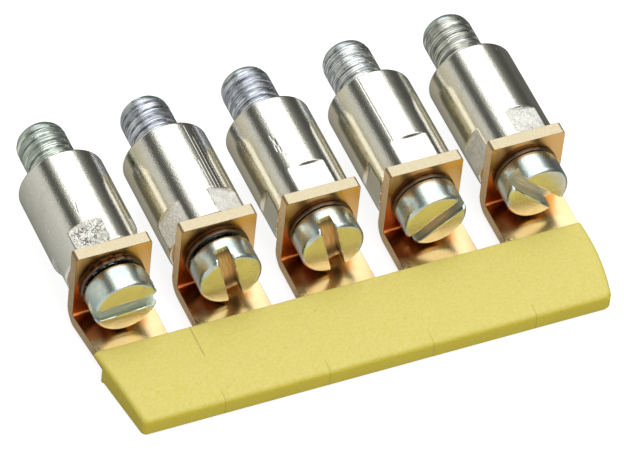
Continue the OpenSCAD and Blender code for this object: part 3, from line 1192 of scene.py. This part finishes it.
        return grid, np.broadcast_to(lined, ends.shape), np.concatenate([groove * fade, ends[:, -2:] * 0], 1)

    def place(self, local: np.ndarray, torn: bool = True) -> np.ndarray:
        """Carries points into the bar's frame.

        Args:
            local: points as (along the slot, across it, height over the head's back).
            torn: the burr, where the screw has one, moves them too.

        Returns:
            The points in millimetres.
        """
        turn = math.radians(self.slot_turn)
        along, across, height = local[..., 0], local[..., 1], local[..., 2]
        if self.burr and torn:
            beside = smooth_step(-np.abs(across - self.slot_shift), *self.burr_beside)
            raised = self.burr * smooth_step(along, *self.burr_from) * beside
            along = along + raised * (self.tear + waves(across * 9 + height * 7, 5, 7, 6))
            height = height + 0.5 * raised * waves(along * 8 + across * 11, 6, 7, 5) * (height > self.burr_above)
        x = axis_x(self.node) + along * math.cos(turn) - across * math.sin(turn)
        z = along * math.sin(turn) + across * math.cos(turn)
        return np.stack([x, self.head_back - self.gap - height, z], -1)

    def masks(self, part: np.ndarray) -> dict[str, np.ndarray]:
        """Masks of a patch of the head.

        Args:
            part: points as (along the slot, across it, height).

        Returns:
            burr near its torn end, slot inside the slot, the share of the slot's painted copper reflection, and
            places along and across the slot.
        """
        along, across, height = part[..., 0], part[..., 1] - self.slot_shift, part[..., 2]
        near = smooth_step(along, *self.tinted_from) * smooth_step(-np.abs(across), *self.tinted_beside)
        inside = (np.abs(across) < self.slot_wide / 2 + 1e-3) & (height < self.head_high - self.head_edge - 0.02)
        inside &= np.hypot(part[..., 0], part[..., 1]) < self.head_r - 0.01
        return {"burr": near * (self.burr > 0), "slot": inside, "along": along, "across": across + height,
                "stained": np.full(along.shape, self.stained)}

    def build(self, finish: bpy.types.Material) -> bpy.types.Object:
        """Makes the screw in place of its solid and dresses it.

        Args:
            finish: its material.

        Returns:
            The piece.
        """
        upper, lower, ring = self.bearings()
        shell = Shell(f"captive_screw_{self.number}")
        for part in (self.half(upper, self.slot_shift + self.slot_wide / 2),
                     self.half(lower, self.slot_wide / 2 - self.slot_shift),
                     self.floor(upper, lower)):
            shell.add(self.place(part), **self.masks(part))
        # The head's side below the slot, a small round at its back edge, and the back in to the waist.
        side = np.array([(0, self.head_high - self.slot_deep), *self.skirt, (self.waist_r - self.head_r, 0)])
        reach, foot = self.head_r + side[None, :, 0], side[None, :, 1]
        cosine, sine = np.cos(ring)[:, None], np.sin(ring)[:, None]
        rows = np.stack([reach * cosine, reach * sine, np.broadcast_to(foot, (len(ring), foot.size))], -1)
        shell.add(self.place(rows), wrap_rows=True)
        polar, thread, groove = self.shank(ring)
        height = self.head_back - self.gap - polar[..., 2]
        rows = np.stack([polar[..., 0] * cosine, polar[..., 0] * sine, height], -1)
        shell.add(self.place(rows, torn=False), wrap_rows=True, thread=thread, groove=groove)
        return dress(shell.build(self.sharp_deg), f"screw_{self.number}_body", finish, self.node)


@dataclass
class Moulding:
    """Insulating moulding: thin lip, crowned top, round nose, slanted left end, open pocket at the back."""

    lip_y: float = -14.3
    wall_y: float = -15.55
    nose_y: float = -21.4
    tab_top: float = -2.75
    tab_bottom: float = -3.75
    top: float = -2.35
    bottom: float = -4.3
    crown_start: float = 1.8
    crown_drop: float = 0.4
    left: float = -19.35
    right: float = 19.45
    slant: float = 8.8
    left_r: float = 0.4
    bow: float = 22.0
    bow_y: float = -15.9
    right_r: float = 0.5
    rim_r: float = 0.45
    heel_r: float = 0.25
    lip_r: float = 0.12
    crown_r: float = 0.36
    rear_r: float = 0.15
    pocket_front: float = -19.6
    end_wall: float = 0.5
    clear: float = 0.05
    corner_reach: float = 0.9
    end_rows: int = 11
    rows: int = 60
    round_rows: int = 9
    shelf_rows: int = 8
    body_rows: int = 30
    corner_rows: int = 6
    sharp_deg: float = 32

    def ends(self, y: np.ndarray) -> tuple[np.ndarray, np.ndarray]:
        """Left and right edge of the plan at depth y, with round front corners.

        The left edge is a slanted line less r - sqrt(r^2 - t^2) in its corner, with t the depth past the corner's
        centre. The right edge is a wide arc, then the arc of the corner that touches it.

        Args:
            y: depths in millimetres.

        Returns:
            X of both edges at each depth.
        """
        slanted = self.left + (self.lip_y - y) * math.tan(math.radians(self.slant))
        past = np.clip(self.nose_y + self.left_r - y, 0, self.left_r)
        low = slanted + self.left_r - np.sqrt(self.left_r ** 2 - past ** 2)
        bowed = self.right - self.bow + np.sqrt(self.bow ** 2 - (y - self.bow_y) ** 2)
        corner_x, corner_y, touch_y = self.corner()
        round_x = corner_x + np.sqrt(np.clip(self.right_r ** 2 - (y - corner_y) ** 2, 0, None))
        return low, np.where(y < touch_y, round_x, bowed)

    def corner(self) -> tuple[float, float, float]:
        """Right front corner: an arc inside the bowed end, with their centres bow - right_r apart.

        Returns:
            X and Y of its centre, and the Y where it touches the bow.
        """
        y = self.nose_y + self.right_r
        reach = self.bow - self.right_r
        x = self.right - self.bow + math.sqrt(reach ** 2 - (y - self.bow_y) ** 2)
        return x, y, self.bow_y + (y - self.bow_y) * self.bow / reach

    def inside(self, x: np.ndarray, y: np.ndarray) -> np.ndarray:
        """How far points of the plan lie inside its front and sides, in the round corners inside the arc.

        Args:
            x: places along the bar.
            y: depths.

        Returns:
            Distance to the nearest edge, at least 0.
        """
        slanted = self.left + (self.lip_y - y) * math.tan(math.radians(self.slant))
        lean = math.cos(math.radians(self.slant))
        front, left = y - self.nose_y, (x - slanted) * lean
        right = self.bow - np.hypot(x - self.right + self.bow, y - self.bow_y)
        depth = np.minimum(np.minimum(front, right), left)
        for radius, side in ((self.right_r, right), (self.left_r, left)):
            corner = (front < radius) & (side < radius)
            arc_depth = radius - np.hypot(radius - front, radius - side)
            depth = np.where(corner, np.minimum(arc_depth, depth), depth)
        return np.clip(depth, 0, None)

    @staticmethod
    def round_off(depth: np.ndarray, radius: float) -> np.ndarray:
        """Fall of a quarter round at a distance from its edge: r - sqrt(r^2 - (r - depth)^2)."""
        short = np.clip(radius - depth, 0, radius)
        return radius - np.sqrt(radius ** 2 - short ** 2)

    def profile(self) -> tuple[np.ndarray, np.ndarray, np.ndarray, np.ndarray]:
        """Depths from the lip to the nose, of the top and of the underside.

        Returns:
            y of the samples, z of the underside where it isn't rounded, 1 where a sample belongs to the lip's
            underside, and y of the same samples in the pocket.
        """
        turn = np.linspace(0, np.pi / 2, self.round_rows)
        quarter = 1 - np.cos(turn)
        lip = self.lip_y - self.lip_r * quarter
        shelf = np.linspace(self.lip_y - self.lip_r, self.wall_y, self.shelf_rows)[1:-1]
        mouth = np.full(6, self.wall_y)
        rear = self.wall_y - self.rear_r * quarter[1:]
        near_nose = self.nose_y + self.corner_reach
        body = np.linspace(rear[-1], near_nose, self.body_rows)[1:]
        corner = np.linspace(near_nose, self.nose_y + self.rim_r, self.corner_rows)[1:]
        nose = self.nose_y + self.rim_r * quarter[::-1][1:]
        y = np.concatenate([lip, shelf, mouth, rear, body, corner, nose])
        start = len(lip) + len(shelf)
        end = start + len(mouth) + len(rear)
        spine_under, rear_top = self.tab_bottom - self.clear, self.bottom + self.rear_r
        under = np.full(len(y), self.bottom)
        under[:start + 1] = self.tab_top
        under[start + 1:end] = [self.tab_top, self.tab_top, spine_under, spine_under, rear_top,
                                *(rear_top - self.rear_r * np.sin(turn)[1:])]
        fixed = np.zeros(len(y))
        fixed[:end] = 1
        deep = y.copy()
        deep[start + 2:start + 4] = self.pocket_front
        return y, under, fixed, deep

    def build(self, finish: bpy.types.Material) -> bpy.types.Object:
        """Makes the moulding in place of its solid and dresses it.

        The surface is rows from the left end to the right end of samples round the section. A row near an end
        keeps its distance from it, and the rest share the way between. Top and underside are the section's
        height less the quarter round of their distance from the plan's edge. In the pocket, the rows follow the
        slant of the left end less and less.

        Args:
            finish: its material.

        Returns:
            The piece.
        """
        y, under, fixed, deep = self.profile()
        near = np.append(0.5 * (1 - np.cos(np.linspace(0, np.pi / 2, self.end_rows))), self.end_wall)
        middle = np.linspace(0, 1, self.rows)[1:-1]
        low, high = self.ends(y)
        x = np.stack([low + d for d in near] + [low + near[-1] + (high - low - 2 * near[-1]) * m for m in middle]
                     + [high - d for d in near[::-1]])
        yy = np.broadcast_to(y, x.shape)
        run = np.clip(self.lip_y - self.crown_start - yy, 0, None)
        length = self.lip_y - self.crown_start - self.nose_y
        depth = self.inside(x, yy)
        crown = self.top - self.crown_drop * (run / length) ** 2
        upper = crown - self.round_off(depth, self.crown_r) - self.round_off(self.lip_y - yy, self.lip_r)
        lower = under + (1 - fixed) * self.round_off(depth, self.heel_r)
        lower = np.where(fixed > 0, np.minimum(lower, upper - self.clear), lower)
        inner = np.zeros((len(x), 1), bool)
        inner[len(near) - 1:-(len(near) - 1)] = True
        under_y = np.where(inner, deep, yy)
        slant_in = self.ends(np.maximum(under_y, self.pocket_front))[0] - low
        share = np.clip((np.arange(len(x)) - len(near) + 1) / (len(x) - 2 * len(near) + 1), 0, 1)[:, None]
        x_under = np.where(inner & (under_y != yy), x + slant_in * (1 - share), x)
        top = np.stack([x, yy, upper], -1)
        base = np.stack([x_under, under_y, lower], -1)
        shell = Shell("moulding")
        for patch in (top, base, *(np.stack([top[e], base[e]]) for e in (0, -1)),
                      *(np.stack([top[:, e], base[:, e]]) for e in (0, -1))):
            shell.add(patch)
        return dress(shell.build(self.sharp_deg), "bar", finish, "insulation")


@dataclass
class Comb:
    """Folded comb: its solid with the sheared edges broken, and masks of its cut edges."""

    node: str = "comb_bar"
    break_r: float = 0.08
    break_steps: int = 3
    break_deg: float = 40
    flat_deg: float = 0.6
    merge_mm: float = 1e-3
    sharp_deg: float = 30
    level_weight: int = 90
    plate_top: float = 3.25
    fold_top: float = -1.5
    top_band: float = 0.1
    turned: float = 0.8
    square: float = 0.97
    in_line: float = 0.05

    def build(self, finish: bpy.types.Material) -> bpy.types.Object:
        """Makes the comb in place of its solid and dresses it.

        Args:
            finish: its material.

        Returns:
            The piece.
        """
        piece = bpy.data.objects.new("folded_comb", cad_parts[self.node].data.copy())
        bpy.context.scene.collection.objects.link(piece)
        work = bmesh.new()
        work.from_mesh(piece.data)
        bmesh.ops.remove_doubles(work, verts=work.verts, dist=self.merge_mm * MM)
        bmesh.ops.dissolve_limit(work, angle_limit=math.radians(self.flat_deg), verts=work.verts, edges=work.edges)
        work.to_mesh(piece.data)
        work.free()
        bevel = piece.modifiers.new("break", "BEVEL")
        bevel.width, bevel.segments, bevel.limit_method = self.break_r * MM, self.break_steps, "ANGLE"
        bevel.angle_limit = math.radians(self.break_deg)
        shade(piece.data, self.sharp_deg)
        level = piece.modifiers.new("level", "WEIGHTED_NORMAL")
        level.mode, level.weight, level.keep_sharp = "FACE_AREA", self.level_weight, False
        depsgraph = bpy.context.evaluated_depsgraph_get()
        mesh = bpy.data.meshes.new_from_object(piece.evaluated_get(depsgraph))
        piece.modifiers.clear()
        piece.data = mesh
        self.mark(mesh)
        return dress(piece, "bar", finish, self.node)

    def mark(self, mesh: bpy.types.Mesh) -> None:
        """Writes the masks: cut on sheared faces, top on the ones on top of a plate, edge on the broken edges.

        Args:
            mesh: the comb's mesh.
        """
        count = len(mesh.polygons)
        normal, centre = np.zeros(count * 3), np.zeros(count * 3)
        mesh.polygons.foreach_get("normal", normal)
        mesh.polygons.foreach_get("center", centre)
        normal, centre = normal.reshape(-1, 3), centre.reshape(-1, 3) / MM
        sideways = np.abs(normal[:, 0]) > self.turned
        on_top = (centre[:, 2] > self.plate_top - self.top_band) & (normal[:, 2] > self.turned)
        square = np.abs(normal).max(axis=1) > self.square
        folded = (np.abs(normal[:, 0]) < self.in_line) & (centre[:, 2] < self.fold_top)
        worn = ~square & ~folded
        for name, chosen in (("cut", sideways | on_top), ("top", on_top), ("edge", worn)):
            layer = mesh.attributes.new(name, "FLOAT", "FACE")
            layer.data.foreach_set("value", chosen.astype(np.float32))


def dress(piece: bpy.types.Object, body: str, finish: bpy.types.Material,
          node: str) -> bpy.types.Object:
    """Gives a piece its finish, its body and its material slot, and lets it stand for its solid.

    Args:
        piece: the new piece.
        body: CAD body that it moves with.
        finish: its material.
        node: CAD node that it stands for.

    Returns:
        The piece.
    """
    piece.data.materials.clear()
    piece.data.materials.append(finish)
    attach(piece, body)
    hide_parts(node)
    return piece


# ---- Studio -----------------------------------------------------------------


@dataclass(frozen=True)
class Studio:
    """Pale floor, soft lamps, and what polished metal sees: a white roof between dark gaps and grey sides."""

    roof: float = 1.6
    fill: float = 0.62
    table: float = 0.75
    tint: float = 0.12
    green_tint: float = 0.01
    blue: float = 0.985
    floor_grey: float = 0.32
    floor_glow: float = 0.84
    floor_gap: float = 0.02
    floor_half: float = 3.0
    camera_at: tuple = (-0.159947, -0.311404, 0.380976)
    camera_right: tuple = (0.9183, -0.3883, 0.0769)
    camera_up: tuple = (0.2440, 0.7083, 0.6624)
    camera_back: tuple = (-0.3117, -0.5895, 0.7452)
    lens: float = 404.1
    sensor: float = 36.0
    clip: tuple = (0.01, 20.0)
    aim: tuple = (0, -0.008, 0)
    lamp_size: float = 0.40
    lamps: tuple = (("overhead", (0.10, 0.12, 0.50), 1.55), ("front", (0.05, -0.55, 0.30), 0.9))

    def sides(self) -> list[tuple[float, float]]:
        """What a polished sleeve sees round its axis.

        Returns:
            Degrees from +X towards +Z, and the brightness there.
        """
        return [(-90, .26), (-67, .15), (-14, .15), (4, .09), (16, .09), (26, .15), (36, .27), (43, .45),
                (48, self.roof), (106, self.roof), (112, .75), (117, .30), (124, .12), (132, .09), (139, .20),
                (145, .66), (160, .70), (180, .60), (199, .54), (230, .42), (255, .32), (270, .26)]

    def camera(self) -> None:
        """Makes the camera."""
        data = bpy.data.cameras.new("camera")
        data.lens, data.sensor_width = self.lens, self.sensor
        data.clip_start, data.clip_end = self.clip
        camera = bpy.data.objects.new("camera", data)
        axes = [Vector(v).normalized() for v in (self.camera_right, self.camera_up, self.camera_back)]
        turn = Matrix([[axes[c][r] for c in range(3)] for r in range(3)]).to_4x4()
        camera.matrix_world = Matrix.Translation(self.camera_at) @ turn
        bpy.context.scene.collection.objects.link(camera)
        bpy.context.scene.camera = camera

    def world(self) -> None:
        """Lights the set: plain to camera and matt surfaces, the studio's walls and roof to polished ones."""
        world = bpy.data.worlds.new("studio")
        bpy.context.scene.world = world
        world.use_nodes = True
        graph = Graph(world.node_tree)
        x, y, z = graph.axes(graph.node("ShaderNodeTexCoord").outputs["Generated"])
        turn = graph.math("DIVIDE", graph.math("ARCTAN2", z, x), 2 * math.pi)
        ramp = graph.node("ShaderNodeValToRGB", {0: graph.math("FLOORED_MODULO", graph.plus(turn, 0.25), 1.0)})
        stops = self.sides()
        while len(ramp.color_ramp.elements) < len(stops):
            ramp.color_ramp.elements.new(0.5)
        for element, (degrees, value) in zip(ramp.color_ramp.elements, stops):
            element.position = (degrees + 90) / 360
            warm = 1 - value / self.roof
            green, blue = 1 - self.green_tint * warm, self.blue - self.tint * warm
            element.color = (value, value * green, value * blue, 1)
        below = graph.times(graph.rise(y, -0.1, -0.4), graph.rise(z, 0.0, -0.2))
        mirrored = graph.mix(below, ramp.outputs[0], (self.table,) * 3 + (1,))
        light = graph.node("ShaderNodeLightPath")
        plain, shiny, white = (graph.node("ShaderNodeBackground", {"Color": colour, "Strength": 1.0}).outputs[0]
                               for colour in ((self.fill,) * 3 + (1,), mirrored, WHITE))
        seen = graph.node("ShaderNodeMixShader", {0: light.outputs["Is Glossy Ray"], 1: plain, 2: shiny})
        last = graph.node("ShaderNodeMixShader",
                          {0: light.outputs["Is Camera Ray"], 1: seen.outputs[0], 2: white})
        graph.node("ShaderNodeOutputWorld", {"Surface": last.outputs[0]})

    def floor(self) -> None:
        """Pale floor just under the part, which a polished surface doesn't see."""
        low, half = CAD_BOX[0][2] - self.floor_gap * MM, self.floor_half
        mesh = bpy.data.meshes.new("floor")
        mesh.from_pydata([(x * half, y * half, low) for x, y in ((-1, -1), (1, -1), (1, 1), (-1, 1))], [],
                         [(0, 1, 2, 3)])
        floor = bpy.data.objects.new("floor", mesh)
        bpy.context.scene.collection.objects.link(floor)
        material = bpy.data.materials.new("pale_floor")
        material.use_nodes = True
        graph = Graph(material.node_tree)
        light = graph.node("ShaderNodeLightPath")
        seen = graph.math("MAXIMUM", light.outputs["Is Camera Ray"], light.outputs["Is Transmission Ray"])
        matt = graph.node("ShaderNodeBsdfDiffuse", {"Color": (self.floor_grey,) * 3 + (1,)})
        glow = graph.node("ShaderNodeEmission", {"Color": WHITE, "Strength": graph.times(seen, self.floor_glow)})
        both = graph.node("ShaderNodeAddShader", {0: matt.outputs[0], 1: glow.outputs[0]})
        graph.node("ShaderNodeOutputMaterial", {"Surface": both.outputs[0]})
        floor.data.materials.append(material)
        floor.visible_glossy = False

    def lamp(self, name: str, at: Sequence[float], power: float) -> None:
        """Makes a square soft lamp that looks at the part, and that polished metal doesn't mirror.

        Args:
            name: its name.
            at: its place, in metres.
            power: its power, in watts.
        """
        data = bpy.data.lights.new(name, "AREA")
        data.size, data.energy = self.lamp_size, power
        lamp = bpy.data.objects.new(name, data)
        lamp.location = at
        lamp.rotation_euler = (Vector(self.aim) - Vector(at)).to_track_quat("-Z", "Y").to_euler()
        lamp.visible_glossy = False
        bpy.context.scene.collection.objects.link(lamp)

    def build(self) -> None:
        """Makes camera, world, floor and lamps."""
        bpy.context.scene.view_settings.view_transform = "Standard"
        self.camera()
        self.world()
        self.floor()
        for name, at, power in self.lamps:
            self.lamp(name, at, power)


# ---- The bar ----------------------------------------------------------------


@dataclass
class TerminalBar:
    """The whole bar, from its parts' classes."""

    sleeves: tuple[Sleeve, ...] = (
        Sleeve(1, -19, Crimp.ROUGH, (Groove(-66, -5.0, -4.75, 0.07, 0.04), Groove(-66.5, -5.6, -5.3, 0.09, 0.05),
                                     Groove(-20, -5.9, -4.9, 0.03, 0.015, 3.0)), peening=0.05),
        Sleeve(2, 30, Crimp.SPECKLED, (Groove(19, -9.0, -0.4), Groove(24.5, -9.0, -1.5), Groove(14, -9.0, -4.0),
                                       Groove(31.5, -9.0, -0.6, 0.04))),
        Sleeve(3, 0, Crimp.SMOOTH, (Groove(-25, -3.85, -3.3, 0.05, 0.012), Groove(-23, -4.5, -3.75, 0.1, 0.016),
                                     Groove(-25.5, -5.0, -4.3, 0.05, 0.014),
                                     Groove(-21.5, -5.2, -4.6, 0.07, 0.012), Groove(-19, -5.7, -5.4, 0.05, 0.01))),
        Sleeve(4, 0, Crimp.SMOOTH, (Groove(-22.4, -6.9, 0.3, 0.035, 0.02, -0.6),)),
        Sleeve(5, 14, Crimp.SPECKLED, (Groove(28.9, -0.85, -0.5, 0.07, 0.03), Groove(41, -9.0, -0.5, 0.03),
                                       Groove(46, -9.0, -0.8, 0.03))),
    )
    screws: tuple[CaptiveScrew, ...] = (
        CaptiveScrew(1, 0.35, 4, -0.12, burr=0.12),
        CaptiveScrew(2, 0.4, -76, stained=1.0),
        CaptiveScrew(3, 0.1, -76, stained=1.0),
        CaptiveScrew(4, 0.08, 36, -0.22, stained=0.6),
        CaptiveScrew(5, 0.06, -45, stained=0.35),
    )
    comb: Comb = field(default_factory=Comb)
    moulding: Moulding = field(default_factory=Moulding)

    def build(self) -> None:
        """Builds and dresses every piece, and reports it."""
        nickel = NickelPlate().material("nickel_plate")
        zinc = ZincPlate().material("zinc_plate")
        pieces = [self.comb.build(RolledCopper().material("rolled_copper")),
                  self.moulding.build(YellowMoulding().material("yellow_moulding"))]
        pieces += [s.build(nickel) for s in self.sleeves] + [s.build(zinc) for s in self.screws]
        for piece in pieces:
            piece.data.calc_loop_triangles()
            LOG.info("%s: %d triangles", piece.name, len(piece.data.loop_triangles))


def main() -> None:
    """Builds the set and the bar."""
    logging.basicConfig(level=logging.INFO, format="%(name)s: %(message)s")
    Studio().build()
    TerminalBar().build()


if __name__ == "__main__":
    main()
